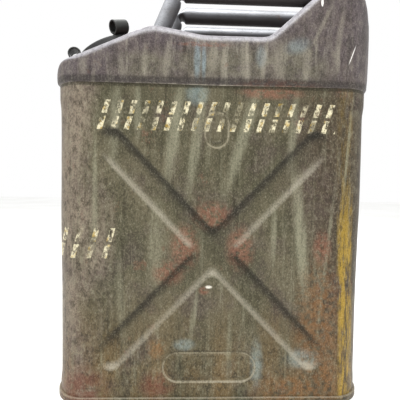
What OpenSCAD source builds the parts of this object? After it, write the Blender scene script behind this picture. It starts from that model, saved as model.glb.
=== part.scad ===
// Five-gallon pressed-steel fuel can: origin at the middle of the base,
// +Z up, the filler at the -X end and the hump at the +X end.

/* [Tank body] */
// Length of the body from the filler end to the hump end
body_l = 347; // [340:1:352]
// Depth of the body between its broad faces
body_d = 165; // [160:1:170]
// Height of the body's top edge, where the top shell slips in
seam_z = 349; // [345:1:352]
// Outside radius of the upright corners
corner_r = 32; // [28:1:36]
// Thickness of the steel sheet
sheet = 1; // [0.8:0.1:1.2]

/* [Pressed X] */
// Width of the pressed trough
trough_w = 26; // [22:1:30]
// Depth of the pressed trough
trough_deep = 5.5; // [3:0.5:7]
// Half the distance between the arm ends along X
arm_x = 112; // [100:1:116]
// Height of the upper arm ends
arm_top = 285; // [280:1:290]
// Height of the lower arm ends
arm_low = 52; // [48:1:60]

/* [Base] */
// Height of the rolled base rim
rim_h = 7; // [6:0.5:10]
// How far the rim stands proud of the body
rim_proud = 2.3; // [2:0.1:3]
// Height of the recessed bottom
pan_z = 12; // [9:1:14]

/* [Top shell] */
// How far the top shell bulges past the body
top_proud = 3.5; // [3:0.1:4]
// Rounding of the long upper edges
edge_r = 13; // [10:1:15]
// Height of the crown over the middle of the top
crown = 3; // [2:0.5:4]
// Height of the deck under the handles
deck_z = 404.5; // [402:0.5:407]
// Height of the ridge in front of the handles
ridge_z = 412.5; // [410:0.5:415]
// Height of the hump before the crown is added
hump_z = 467; // [462:0.5:468]

/* [Handles] */
// Outside diameter of the handle tubes
tube_d = 19.2; // [18:0.1:20]
// Wall of the handle tubes
tube_wall = 1.6; // [1.2:0.1:2]
// Distance between neighbouring handles
handle_pitch = 53; // [50:0.5:54]
// Height of the middle of the bars
bar_z = 459; // [457:0.5:460]
// Inner-side radius of the tube's centre line in the bend
bend_r = 13; // [12:0.5:16]
// Slant of the front legs above the horizontal
leg_slant = 67; // [64:0.5:70]

/* [Filler] */
// Slant of the filler slope
slope = 24.1; // [23:0.1:25]
// Outside radius of the neck
neck_r = 35; // [34:0.5:35]
// Radius of the neck's bore
bore_r = 32.5; // [31:0.5:33]
// Height of the neck's rim above the slope
neck_h = 18.7; // [18:0.1:18.8]
// Outside radius of the cap
cap_r = 41.5; // [41:0.5:42]
// Height of the cap's flat top above the slope
cap_top = 23.5; // [23.4:0.1:24.5]
// Rise of the thread in one turn
lead = 6.35; // [6:0.05:7]
// Outside radius of the rolled loops on the cap
loop_r = 8; // [7.5:0.1:8.5]
// Width of the loops
loop_w = 18; // [16:1:22]
// Distance of the loops from the cap's axis
loop_out = 40.3; // [38:0.1:41]
// How far the first loop is turned from the filler end
loop_turn = 8.6; // [0:0.1:12]

/* [Hidden] */
$fn = 96;
body_paint = "#8a806e";
top_paint = "#787068";
worn_steel = "#98989a";
dark_steel = "#525254";
tube_r = tube_d / 2;
skirt_z = seam_z - 14;      // lower edge of the top shell's skirt
curl_z = seam_z + 4.5;      // where the bulge reaches its full size
half_l = body_l / 2 + top_proud;
half_d = body_d / 2 + top_proud;
foot_x = -64;               // where the legs' centre lines reach foot_z
foot_z = 411;
filler_x = -123.2;          // where the neck's axis crosses the slope
filler_z = 390.3;
face_rise = 0.91;           // rise per millimetre of the hump's front face
wall = 1.7;                 // sheet of the cap
ridge_of_thread = 1.9;      // axial height of a rolled thread
thread_z = 9;               // where the neck's thread starts above the slope

// --- outlines ---------------------------------------------------------

// Plan of the tank, grown outwards by g
module plan(g) {
    r = corner_r + g;
    x = body_l / 2 - corner_r;
    y = body_d / 2 - corner_r;
    square([2 * x, 2 * (y + r)], center = true);
    square([2 * (x + r), 2 * y], center = true);
    for (i = [-1, 1], j = [-1, 1])
        translate([i * x, j * y]) circle(r);
}

// Wall of thickness t inside the plan grown by g
module ring(g, t, z0, z1) {
    translate([0, 0, z0]) difference() {
        linear_extrude(z1 - z0) plan(g);
        translate([0, 0, -1]) linear_extrude(z1 - z0 + 2) plan(g - t);
    }
}

// A bar with round ends from a to b
module bar2d(a, b, w) {
    d = b - a;
    translate(a) rotate(atan2(d[1], d[0])) {
        translate([0, -w / 2]) square([norm(d), w]);
        circle(w / 2);
        translate([norm(d), 0]) circle(w / 2);
    }
}

// The pressed X, its walls moved out by g
module cross2d(g) {
    bar2d([-arm_x, arm_low], [arm_x, arm_top], trough_w + 2 * g);
    bar2d([arm_x, arm_low], [-arm_x, arm_top], trough_w + 2 * g);
}

// Plain upright loop pressed above the X
module upper_mark2d(g) {
    difference() {
        bar2d([2, 296], [2, 309], 26 + 2 * g);
        bar2d([2, 296], [2, 309], 18 - 2 * g);
    }
}

// Plain lying loop pressed below the X
module lower_mark2d(g) {
    difference() {
        bar2d([-37, 40], [33, 40], 34 + 2 * g);
        bar2d([-37, 40], [33, 40], 26 - 2 * g);
    }
}

// Solids that press an outline into both broad faces, to a depth
module press_both(y_face, depth) {
    for (turn = [0, 180]) rotate(turn)
        translate([0, -y_face + depth, 0]) rotate([90, 0, 0])
            linear_extrude(depth + 5) children();
}

module pressings(g) {
    press_both(body_d / 2, trough_deep + g) cross2d(g);
    press_both(body_d / 2, 1 + g) upper_mark2d(g);
    press_both(body_d / 2, 1 + g) lower_mark2d(g);
}

// --- top surface --------------------------------------------------------

// Side outline of the top along the near edge: front curve, slope, ridge,
// deck, hump face, hump and raked back
nose_r = 22;
nose = [for (a = [180:-11:114])
            [-half_l + nose_r + nose_r * cos(a), seam_z + 4.5 + nose_r * sin(a)]];
crest = concat([[-half_l - 6, seam_z]], nose,
               [[-92, 405], [-68, ridge_z + 1], [-14, deck_z], [58, deck_z],
                [58 + (hump_z - deck_z) / face_rise, hump_z], [152, hump_z],
                [159.5, 453], [171.5, 419], [183, 386]]);
crest_blend = 5;    // half the stretch over which the corners are rounded
function crest_z(x) = let (n = 4)
    [for (k = [-n:n]) lookup(x + crest_blend * k / n, crest)] * [for (k = [-n:n]) 1 / (2 * n + 1)];
function crest_in(x) =
    min([for (a = [-90:30:90]) crest_z(x + sheet * sin(a)) - sheet * cos(a)]);
function top_z(x, y, g) = let (
        c = g == 0 ? crest_z(x) : crest_in(x),
        r = edge_r - g,
        e = max(0, min(1, (abs(y) - half_d + g + r) / r)),
        d = min(r, c - curl_z + g))
    c - d * (1 - sqrt(1 - e * e)) + crown * (1 - pow(y / half_d, 2));

// Half a loop of the plan, inset by s, from the hump end to the filler end
n_end = 4;
n_arc = 6;
n_side = 46;
function half_loop(s) = let (
        a = half_l - s,
        b = half_d - s,
        r = min(b, max(corner_r + top_proud - s, 2)))
    concat([for (i = [0:n_end - 1]) [a, (b - r) * i / n_end]],
           [for (i = [0:n_arc - 1]) let (t = 90 * i / n_arc) [a - r + r * cos(t), b - r + r * sin(t)]],
           [for (i = [0:n_side - 1]) [(a - r) * (1 - 2 * i / n_side), b]],
           [for (i = [0:n_arc - 1]) let (t = 90 + 90 * i / n_arc) [-a + r + r * cos(t), b - r + r * sin(t)]],
           [for (i = [0:n_end]) [-a, (b - r) * (1 - i / n_end)]]);
function loop(s) = let (h = half_loop(s), m = len(h) - 1)
    concat(h, [for (i = [m - 1:-1:1]) [h[i][0], -h[i][1]]]);

// Every ring of one side of the sheet, from the skirt to the middle line
arc_steps = [0, 22.5, 45, 67.5, 90];
flat_insets = [18, 25, 33, 43, 56, 70, 84];
function skin(g) = concat(
    [for (q = [[top_proud + sheet, skirt_z], [top_proud + sheet, seam_z + 1],
               [0.35 * top_proud, curl_z - 2], [0, curl_z - 0.5]])
        [for (p = loop(q[0] + g)) [p[0], p[1], q[1]]]],
    [for (s = concat([for (t = arc_steps) g + (edge_r - g) * (1 - cos(t))], flat_insets))
        [for (p = loop(s)) [p[0], p[1], top_z(p[0], p[1], g)]]]);

// Faces of a stack of rings, closed over its last ring
function stack_faces(rings, n, first) = let (m = n / 2, last = first + (rings - 1) * n) concat(
    [for (k = [0:rings - 2], i = [0:n - 1]) let (a = first + k * n, j = (i + 1) % n)
        [a + i, a + n + i, a + n + j, a + j]],
    [for (i = [1:m - 2]) [last + i, last + n - i, last + n - i - 1, last + i + 1]],
    [[last, last + n - 1, last + 1], [last + m - 1, last + m + 1, last + m]]);
function split(faces) = [for (f = faces) each len(f) == 3 ? [f] : [[f[0], f[1], f[2]], [f[0], f[2], f[3]]]];
function flip(faces) = [for (f = faces) [f[2], f[1], f[0]]];

module top_sheet() {
    outer = skin(0);
    inner = skin(sheet);
    n = len(outer[0]);
    rings = len(outer);
    points = [for (r = concat(outer, inner)) each r];
    first_in = rings * n;
    rim = [for (i = [0:n - 1]) let (j = (i + 1) % n) [i, j, first_in + j, first_in + i]];
    polyhedron(points, concat(split(stack_faces(rings, n, 0)),
                              flip(split(stack_faces(rings, n, first_in))), split(rim)));
}

// --- places -------------------------------------------------------------

// Moves its children to the filler, with +Z along the neck
module at_filler() {
    translate([filler_x, 0, filler_z]) rotate([0, -slope, 0]) children();
}

// Moves its children onto the cap's flat top at loop number i
module at_loop(i) {
    at_filler() rotate(180 + loop_turn + 120 * i)
        translate([loop_out, 0, cap_top]) children();
}

// A block that fills everything under the top surface around a leg's foot
module foot_block(y) {
    lift = crown * (1 - pow(y / half_d, 2));
    translate([foot_x, y, ridge_z + lift - 0.6]) rotate([0, 8, 0])
        translate([-30, -30, -40]) cube([60, 60, 40]);
}

// A block behind the hump's front face, moved out of it by g
module hump_block(y, g) {
    lift = crown * (1 - pow(y / half_d, 2)) - 0.4;
    x = 58 + (bar_z - deck_z - lift) / face_rise;
    translate([x, y, bar_z]) rotate([0, -atan(face_rise), 0])
        translate([-60, -30, -60]) cube([120, 60, 60 + g]);
}

// Where the leg's centre line meets the bar's, and how far the bend reaches from there
corner_x = foot_x + (bar_z - foot_z) / tan(leg_slant);
reach = bend_r * tan(leg_slant / 2);
bend_lap = 5;       // degrees that the crushed bend runs into the leg and the bar
bend_crush = 1;     // how much thinner the tube is where it was crushed

module leg(y, r) {
    translate([foot_x, y, foot_z]) rotate([0, 90 - leg_slant, 0])
        translate([0, 0, -6]) cylinder(r = r, h = (bar_z - foot_z) / sin(leg_slant) - reach + 6);
}

module bar(y, r) {
    translate([corner_x + reach, y, bar_z]) rotate([0, 90, 0]) cylinder(r = r, h = 175);
}

// Slanted leg, crushed bend and bar, cut to the ridge and to the hump
module handle(y) {
    bore = tube_r - tube_wall;
    difference() {
        leg(y, tube_r);
        leg(y, bore);
        foot_block(y);
    }
    translate([corner_x + reach, y, bar_z - bend_r]) rotate([90, 0, 0]) rotate(90 - bend_lap)
        rotate_extrude(angle = leg_slant + 2 * bend_lap)
            translate([bend_r, 0]) circle(tube_r - bend_crush);
    difference() {
        bar(y, tube_r);
        bar(y, bore);
        hump_block(y, 0);
    }
}

// A rolled thread: a bead wound up the axis, r0 at its root, r1 at its tip
module thread(r0, r1, z0, turns) {
    steps = 24;
    n = turns * steps;
    h = ridge_of_thread;
    section = [[r0, -h / 2], [r1, -h / 5], [r1, h / 5], [r0, h / 2]];
    points = [for (i = [0:n], p = section) let (a = 360 * i / steps)
                 [p[0] * cos(a), p[0] * sin(a), z0 + lead * i / steps + p[1]]];
    sides = [for (i = [0:n - 1], k = [0:3]) let (j = (k + 1) % 4)
                [4 * i + k, 4 * i + 4 + k, 4 * i + 4 + j, 4 * i + j]];
    ends = [[0, 1, 2, 3], [4 * n + 3, 4 * n + 2, 4 * n + 1, 4 * n]];
    polyhedron(points, r1 > r0 ? split(concat(sides, ends)) : flip(split(concat(sides, ends))));
}

// --- parts --------------------------------------------------------------

// Wrapped sheet with an X and two plain loops pressed into both faces
module body_shell() {
    color(body_paint) difference() {
        translate([0, 0, 1.2]) linear_extrude(seam_z - 1.2) plan(0);
        difference() {
            linear_extrude(seam_z + 5) plan(-sheet);
            pressings(sheet);
        }
        pressings(0);
    }
}

// Upright weld where the wrapped sheet closes, at the hump end
module body_side_seam() {
    color(body_paint) translate([body_l / 2, 0, (rim_h + seam_z) / 2])
        intersection() {
            cube([1.6, 4, seam_z - rim_h - 2], center = true);
            translate([1, 0, 0]) cube([2, 4, seam_z], center = true);
        }
}

// Recessed bottom with a skirt turned down inside the body
module bottom_pan() {
    color(body_paint) {
        translate([0, 0, pan_z]) linear_extrude(sheet) plan(-sheet);
        ring(-sheet, sheet, 1.2, pan_z);
    }
}

// Rolled rim that closes over the body's lower edge and the pan's skirt
module base_rim() {
    color(body_paint) {
        ring(rim_proud, rim_proud, 0, rim_h);
        ring(rim_proud, rim_proud + 2 * sheet + 1.2, 0, 1.2);
        ring(-2 * sheet, 1.2, 0, rim_h);
    }
}

// Domed top with a filler slope, a deck and a hump
module top_shell() {
    color(top_paint) difference() {
        top_sheet();
        at_filler() translate([0, 0, -12]) cylinder(r = neck_r, h = 30);
    }
}

// Solder run between the body's edge and the top shell
module shoulder_seam() {
    color(body_paint) ring(-0.1, sheet - 0.1, seam_z, seam_z + 1);
}

module handle_near() { color(worn_steel) handle(-handle_pitch); }
module handle_centre() { color(worn_steel) handle(0); }
module handle_far() { color(worn_steel) handle(handle_pitch); }

// Weld beads round the feet of the legs
module handle_front_welds() {
    color(dark_steel) for (y = [-handle_pitch, 0, handle_pitch])
        difference() {
            intersection() {
                leg(y, tube_r + 2);
                translate([0, 0, 2.5]) foot_block(y);
            }
            leg(y, tube_r);
            foot_block(y);
        }
}

// Weld beads where the bars meet the hump
module handle_rear_welds() {
    color(dark_steel) for (y = [-handle_pitch, 0, handle_pitch])
        difference() {
            intersection() {
                bar(y, tube_r + 2);
                hump_block(y, 2.5);
            }
            bar(y, tube_r);
            hump_block(y, 0);
        }
}

module filler_neck() {
    color(dark_steel) at_filler() difference() {
        translate([0, 0, -6]) cylinder(r = neck_r, h = neck_h + 6);
        translate([0, 0, -7]) cylinder(r = bore_r, h = neck_h + 8);
    }
}

// Brazed fillet round the neck
module neck_weld() {
    color(top_paint) at_filler() difference() {
        translate([0, 0, 2]) cylinder(r1 = neck_r + 3, r2 = neck_r + 0.6, h = 2.4);
        translate([0, 0, 1]) cylinder(r = neck_r, h = 5);
    }
}

module neck_thread() {
    color(dark_steel) at_filler() thread(neck_r - 0.2, neck_r + 1.6, thread_z, 1.25);
}

// Drawn cap with a flat top
module cap_shell() {
    color(dark_steel) at_filler() difference() {
        translate([0, 0, 4.6]) cylinder(r = cap_r, h = cap_top - 4.6);
        translate([0, 0, 4]) cylinder(r = cap_r - wall, h = cap_top - wall - 4);
    }
}

module cap_thread() {
    color(dark_steel) at_filler()
        thread(cap_r - wall + 0.2, neck_r + 0.4, thread_z - lead / 2, 1.25);
}

// Strip welded to the cap's top and rolled into a loop at its edge
module cap_ear(i) {
    color(dark_steel) at_loop(i) difference() {
        union() {
            translate([0, 0, loop_r]) rotate([90, 0, 0])
                cylinder(r = loop_r, h = loop_w, center = true);
            translate([-20, -loop_w / 2, 0]) cube([20, loop_w, 1.8]);
        }
        translate([0, 0, loop_r]) rotate([90, 0, 0])
            cylinder(r = loop_r - 1.8, h = loop_w + 2, center = true);
    }
}
module cap_ear_front() { cap_ear(0); }
module cap_ear_near() { cap_ear(1); }
module cap_ear_far() { cap_ear(2); }

// Weld beads along the inner ends of the strips
module cap_ear_welds() {
    color(dark_steel) for (i = [0:2]) at_loop(i) translate([-20, 0, 0])
        intersection() {
            rotate([90, 0, 0]) cylinder(r = 1.6, h = loop_w - 4, center = true);
            translate([-2, 0, 1]) cube([4, loop_w, 2], center = true);
        }
}

// Flat sealing ring that rests on the neck's rim
module cap_gasket() {
    color("#2b2a28") at_filler() difference() {
        translate([0, 0, neck_h + 0.1]) cylinder(r = cap_r - wall - 0.4, h = 2.9);
        translate([0, 0, neck_h - 1]) cylinder(r = bore_r - 2, h = 6);
    }
}

// Disc pressed into the gasket's middle
module gasket_retainer() {
    color(worn_steel) at_filler() translate([0, 0, neck_h + 1.7])
        difference() {
            cylinder(r = bore_r - 2, h = 1.2);
            translate([0, 0, -1]) cylinder(r = 9, h = 4);
        }
}

body_shell();
body_side_seam();
bottom_pan();
base_rim();
top_shell();
shoulder_seam();
handle_near();
handle_centre();
handle_far();
handle_front_welds();
handle_rear_welds();
filler_neck();
neck_weld();
neck_thread();
cap_shell();
cap_thread();
cap_ear_front();
cap_ear_near();
cap_ear_far();
cap_ear_welds();
cap_gasket();
gasket_retainer();
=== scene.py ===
# Five-gallon pressed-steel fuel can, old olive-drab paint over sheet steel.
import math

import bmesh
import bpy
from mathutils import Matrix, Vector


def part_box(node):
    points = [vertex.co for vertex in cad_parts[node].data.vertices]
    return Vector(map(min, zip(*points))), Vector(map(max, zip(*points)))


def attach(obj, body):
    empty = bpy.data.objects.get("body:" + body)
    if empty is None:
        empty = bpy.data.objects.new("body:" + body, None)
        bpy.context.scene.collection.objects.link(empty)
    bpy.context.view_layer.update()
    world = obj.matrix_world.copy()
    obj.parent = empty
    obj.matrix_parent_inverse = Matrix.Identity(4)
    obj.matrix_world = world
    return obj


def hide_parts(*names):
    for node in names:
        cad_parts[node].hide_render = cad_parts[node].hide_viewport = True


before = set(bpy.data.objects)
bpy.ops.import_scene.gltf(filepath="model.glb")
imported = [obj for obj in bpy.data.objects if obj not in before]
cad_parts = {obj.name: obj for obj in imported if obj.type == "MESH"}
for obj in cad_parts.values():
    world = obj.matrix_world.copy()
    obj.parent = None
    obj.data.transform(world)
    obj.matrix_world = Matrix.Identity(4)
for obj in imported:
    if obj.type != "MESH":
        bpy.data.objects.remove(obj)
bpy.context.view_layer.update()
mm = 0.001


# small helpers

def deselectAll():
    if bpy.context.mode != "OBJECT":
        bpy.ops.object.mode_set(mode="OBJECT")
    bpy.ops.object.select_all(action="DESELECT")


def selectMesh():
    bpy.ops.mesh.select_all(action="SELECT")


def extrudeBy(way):
    # in edit mode, draws the selection out along a vector
    bpy.ops.mesh.extrude_region_move(TRANSFORM_OT_translate={"value": way})


def startPiece(name):
    piece = bpy.context.active_object      # the primitive that was just added
    piece.name = name
    piece.data.name = name
    bpy.ops.object.mode_set(mode="EDIT")
    bpy.ops.mesh.select_mode(type="VERT")
    selectMesh()
    return piece


def pick(kind, test):
    # in edit mode, selects only the vertices, edges or faces that pass the test
    bpy.ops.mesh.select_mode(type={"verts": "VERT", "edges": "EDGE", "faces": "FACE"}[kind])
    bpy.ops.mesh.select_all(action="DESELECT")
    mesh = bmesh.from_edit_mesh(bpy.context.edit_object.data)
    for item in getattr(mesh, kind):
        if test(item):
            item.select_set(True)
    mesh.select_flush_mode()
    bmesh.update_edit_mesh(bpy.context.edit_object.data)


def moveVerts(change):
    # in edit mode, passes every vertex place through a function
    mesh = bmesh.from_edit_mesh(bpy.context.edit_object.data)
    for vert in mesh.verts:
        vert.co = change(vert.co.copy())
    bmesh.update_edit_mesh(bpy.context.edit_object.data)


def endEdit(merge=0.00001):
    selectMesh()
    bpy.ops.mesh.remove_doubles(threshold=merge)
    bpy.ops.mesh.normals_make_consistent(inside=False)
    bpy.ops.object.mode_set(mode="OBJECT")


def applyModifier(piece, kind, **settings):
    modifier = piece.modifiers.new(kind.title(), kind)
    for name, value in settings.items():
        setattr(modifier, name, value)
    bpy.context.view_layer.objects.active = piece
    bpy.ops.object.modifier_apply(modifier=modifier.name)


def settle(piece, angle=40):
    # place goes into the mesh, so that the object sits at the origin unturned
    deselectAll()
    piece.select_set(True)
    bpy.context.view_layer.objects.active = piece
    bpy.ops.object.transform_apply(location=True, rotation=True, scale=True)
    bpy.ops.object.shade_smooth_by_angle(angle=math.radians(angle))
    deselectAll()


def finishPiece(piece, body, nodes, material):
    piece.data.materials.clear()
    piece.data.materials.append(material)
    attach(piece, body)
    if nodes:
        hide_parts(*nodes)
    print("made", piece.name, len(piece.data.polygons), "faces")


def smooth(t):
    t = max(0.0, min(1.0, t))
    return t * t * (3 - 2 * t)


def toSegment(point, a, b):
    # distance from a point to a straight stretch, all in the same plane
    along = b - a
    t = max(0.0, min(1.0, (point - a).dot(along) / along.length_squared))
    return (point - a - along * t).length


# material helpers

def paintColour(code):
    # sRGB hex to the linear colour that the shader takes
    parts = [int(code[i:i + 2], 16) / 255 for i in (1, 3, 5)]
    return [*(c / 12.92 if c <= 0.04045 else ((c + 0.055) / 1.055) ** 2.4 for c in parts), 1]


def addNode(tree, kind, inputs=None, **settings):
    node = tree.nodes.new("ShaderNode" + kind)
    for name, value in settings.items():
        setattr(node, name, value)
    for socket, value in (inputs or {}).items():
        if isinstance(value, bpy.types.NodeSocket):
            tree.links.new(value, node.inputs[socket])
        else:
            node.inputs[socket].default_value = value
    return node


def newMaterial(name, **constants):
    material = bpy.data.materials.new(name)
    material.use_nodes = True
    tree = material.node_tree
    shader = tree.nodes["Principled BSDF"]
    for socket, value in constants.items():
        shader.inputs[socket].default_value = value
    return material, tree, shader


def objectPlace(tree):
    return addNode(tree, "TexCoord").outputs["Object"]


def noiseField(tree, place, size, stretch=(1, 1, 1), detail=4, rough=0.55, low=0.3, high=0.7, shift=0):
    # noise whose features are about size metres across, pulled long by stretch
    scale = [1 / (size * s) for s in stretch]
    moved = (shift, shift * 1.7, shift * 0.6)
    turned = addNode(tree, "Mapping", {"Vector": place, "Scale": scale, "Location": moved})
    noise = addNode(tree, "TexNoise", {"Vector": turned.outputs[0], "Scale": 1.0, "Detail": detail,
                                       "Roughness": rough})
    return mapField(tree, noise.outputs[0], low, high)


def mapField(tree, field, low, high, toLow=0.0, toHigh=1.0, steps="SMOOTHSTEP"):
    return addNode(tree, "MapRange", {"Value": field, "From Min": low, "From Max": high, "To Min": toLow,
                                      "To Max": toHigh}, interpolation_type=steps).outputs[0]


def combine(tree, operation, a, b=0.0):
    return addNode(tree, "Math", {0: a, 1: b}, operation=operation).outputs[0]


def faded(tree, mask, amount):
    # a mask thinned by a share or by another mask
    return combine(tree, "MULTIPLY", mask, amount)


def layer(tree, colour, over, amount, share=None):
    # lays one colour over another by a mask, or by a share of it
    if share is not None:
        amount = faded(tree, amount, share)
    mixed = addNode(tree, "Mix", data_type="RGBA")
    for socket, value in (("Factor", amount), ("A", colour), ("B", over)):
        kind = "VALUE" if socket == "Factor" else "RGBA"
        target = next(s for s in mixed.inputs if s.name == socket and s.type == kind)
        if isinstance(value, bpy.types.NodeSocket):
            tree.links.new(value, target)
        else:
            target.default_value = value
    return next(s for s in mixed.outputs if s.type == "RGBA")


def patch(tree, place, centre, size, edge=0.35):
    # soft spot on the broad faces: centre and half size in X and Z
    shrink = (1 / size[0], 0, 1 / size[1])
    shifted = addNode(tree, "VectorMath", {0: place, 1: (centre[0], 0, centre[1])}, operation="SUBTRACT")
    shrunk = addNode(tree, "VectorMath", {0: shifted.outputs[0], 1: shrink}, operation="MULTIPLY")
    distance = addNode(tree, "VectorMath", {0: shrunk.outputs[0]}, operation="LENGTH")
    return mapField(tree, distance.outputs["Value"], 1 + edge, 1 - edge, 0, 1)


def finishShader(tree, shader, colour, rough, height, strength, depth, metal=None):
    tree.links.new(colour, shader.inputs["Base Color"])
    tree.links.new(rough, shader.inputs["Roughness"])
    if metal is not None:
        tree.links.new(metal, shader.inputs["Metallic"])
    bump = addNode(tree, "Bump", {"Height": height, "Strength": strength, "Distance": depth})
    tree.links.new(bump.outputs[0], shader.inputs["Normal"])


# camera, light and floor

cameraPlan = {
    "place": (-0.0285, -0.4546, 0.2459),   # a short step from the near broad face
    "yaw": 2.065, "pitch": -2.916, "roll": 0.949, "lens": 30.98, "sensor": 36, "clip": 0.01}


def makeCamera():
    yaw, pitch, roll = (math.radians(cameraPlan[key]) for key in ("yaw", "pitch", "roll"))
    ahead = Vector((math.sin(yaw) * math.cos(pitch), math.cos(yaw) * math.cos(pitch), math.sin(pitch)))
    right = Vector((math.cos(yaw), -math.sin(yaw), 0))
    up = right.cross(ahead)
    right, up = (right * math.cos(roll) + up * math.sin(roll),
                 up * math.cos(roll) - right * math.sin(roll))
    turned = Matrix((right, up, -ahead)).transposed().to_4x4()
    bpy.ops.object.camera_add()
    camera = bpy.context.active_object
    camera.matrix_world = Matrix.Translation(cameraPlan["place"]) @ turned
    camera.data.lens = cameraPlan["lens"]
    camera.data.sensor_width = cameraPlan["sensor"]
    camera.data.clip_start = cameraPlan["clip"]
    bpy.context.scene.camera = camera


lightPlan = {
    "world": ("#ffffff", 1.0),
    # name: place, aim, size across and along, watts
    "above": ((-0.10, -0.50, 1.60), (0, 0, 0.30), (0.9, 0.6), 26),
    "leftWall": ((-1.5, -0.9, 0.9), (0, 0, 0.25), (0.8, 1.0), 5),
    "rightWall": ((1.5, -0.7, 0.8), (0, 0, 0.25), (0.7, 1.0), 3),
    "behind": ((0.2, 1.4, 1.2), (0, 0, 0.35), (1.4, 0.8), 12)}


def makeLights():
    world = bpy.data.worlds.new("softStudio")
    bpy.context.scene.world = world
    world.use_nodes = True
    background = world.node_tree.nodes["Background"]
    colour, strength = lightPlan["world"]
    background.inputs["Color"].default_value = paintColour(colour)
    background.inputs["Strength"].default_value = strength
    for name in ("above", "leftWall", "rightWall", "behind"):
        place, aim, size, watts = lightPlan[name]
        bpy.ops.object.light_add(type="AREA", location=place)
        lamp = bpy.context.active_object
        lamp.name = name
        lamp.rotation_euler = (Vector(aim) - Vector(place)).to_track_quat("-Z", "Y").to_euler()
        lamp.data.shape = "RECTANGLE"
        lamp.data.size, lamp.data.size_y = size
        lamp.data.energy = watts


floorPlan = {"size": 9, "pale": "#fbfbfa", "dull": "#f5f5f3", "grain": 0.4, "rough": 0.9}


def makeFloor():
    # matt paper: almost no reflection, so little shows on it but the can's soft shadow
    deselectAll()
    bpy.ops.mesh.primitive_plane_add(size=1, location=(0, 0, 0))
    floor = startPiece("floor")
    bpy.ops.transform.resize(value=(floorPlan["size"], floorPlan["size"], 1))
    bpy.ops.mesh.subdivide(number_cuts=2)
    bpy.ops.object.mode_set(mode="OBJECT")
    material, tree, shader = newMaterial("pale paper floor", Roughness=floorPlan["rough"])
    grain = noiseField(tree, objectPlace(tree), floorPlan["grain"])
    colour = layer(tree, paintColour(floorPlan["pale"]), paintColour(floorPlan["dull"]), grain)
    tree.links.new(colour, shader.inputs["Base Color"])
    floor.data.materials.append(material)


makeCamera()
makeLights()
makeFloor()
print("camera, lights and floor done")
bpy.context.scene.view_settings.view_transform = "Standard"


# tank body

tankBody = {
    "cornerRadius": 32 * mm, "cornerSteps": 8,
    "broadCuts": 106, "endCuts": 14, "heightCuts": 128,
    "armX": 112 * mm, "armTop": 285 * mm, "armLow": 52 * mm,
    "troughHalf": 16.5 * mm,     # half the gutter's width at its rounded shoulders
    "troughDeep": 5.4 * mm,
    "troughFlat": 2.6, "troughLip": 0.95,     # the gutter's section: how flat below, how round at the lip
    "runOut": 0.7, "runOutEarly": 5 * mm, "runOutLong": 24 * mm,     # the arms run out shallow
    "face": 0.2 * mm,            # how close to the broad face a vertex is stamped
    "knockPlace": (-158 * mm, 327 * mm), "knockSize": (26 * mm, 9 * mm), "knockDeep": 1.6 * mm,
    "crotch": 9 * mm,            # rounding where the arms meet
    "stiffEnd": 14 * mm, "dentSize": 0.11, "dentDeep": 1.8 * mm,
    "sheet": 1 * mm}


def armDistance(x, z):
    # distance to the nearer arm of the pressed X, blended where they meet
    point = Vector((x, z))
    ends = [Vector((side * tankBody["armX"], tankBody[level]))
            for level in ("armTop", "armLow") for side in (-1, 1)]
    one = toSegment(point, ends[0], ends[3])
    two = toSegment(point, ends[1], ends[2])
    blend = max(0.0, tankBody["crotch"] - abs(one - two)) / tankBody["crotch"]
    return min(one, two) - blend * blend * tankBody["crotch"] / 4


loopMarks = {   # plain pressed loops above and below the X: middle line's ends, half width, line width
    "upper": (Vector((2, 296)) * mm, Vector((2, 309)) * mm, 11 * mm, 3.2 * mm),
    "lower": (Vector((-37, 40)) * mm, Vector((33, 40)) * mm, 15 * mm, 3.2 * mm),
    "deep": 0.9 * mm}


def loopDepth(x, z):
    deepest = 0
    for name in ("upper", "lower"):
        a, b, half, line = loopMarks[name]
        off = abs(toSegment(Vector((x, z)), a, b) - half)
        deepest = max(deepest, 1 - smooth(off / line))
    return deepest * loopMarks["deep"]


def nearLoop(x, z, margin=4 * mm):
    return any(toSegment(Vector((x, z)), loopMarks[n][0], loopMarks[n][1]) < loopMarks[n][2] + margin
               for n in ("upper", "lower"))


def pressIn(place, face):
    # the stamping: the X trough and the two loops, on both broad faces
    if abs(place.y) < face - tankBody["face"]:
        return place
    share = min(1.0, max(0.0, armDistance(place.x, place.z)) / tankBody["troughHalf"])
    depth = tankBody["troughDeep"] * (1 - share ** tankBody["troughFlat"]) ** tankBody["troughLip"]
    pastEnd = abs(place.x) - tankBody["armX"] + tankBody["runOutEarly"]
    depth *= 1 - tankBody["runOut"] * smooth(pastEnd / tankBody["runOutLong"])
    depth = max(depth, loopDepth(place.x, place.z))
    if place.y < 0:      # an old knock near the front corner
        knockX, knockZ = tankBody["knockPlace"]
        knockLong, knockTall = tankBody["knockSize"]
        knock = ((place.x - knockX) / knockLong) ** 2 + ((place.z - knockZ) / knockTall) ** 2
        depth += tankBody["knockDeep"] * (1 - smooth(knock))
    place.y -= math.copysign(depth, place.y)
    return place


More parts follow.
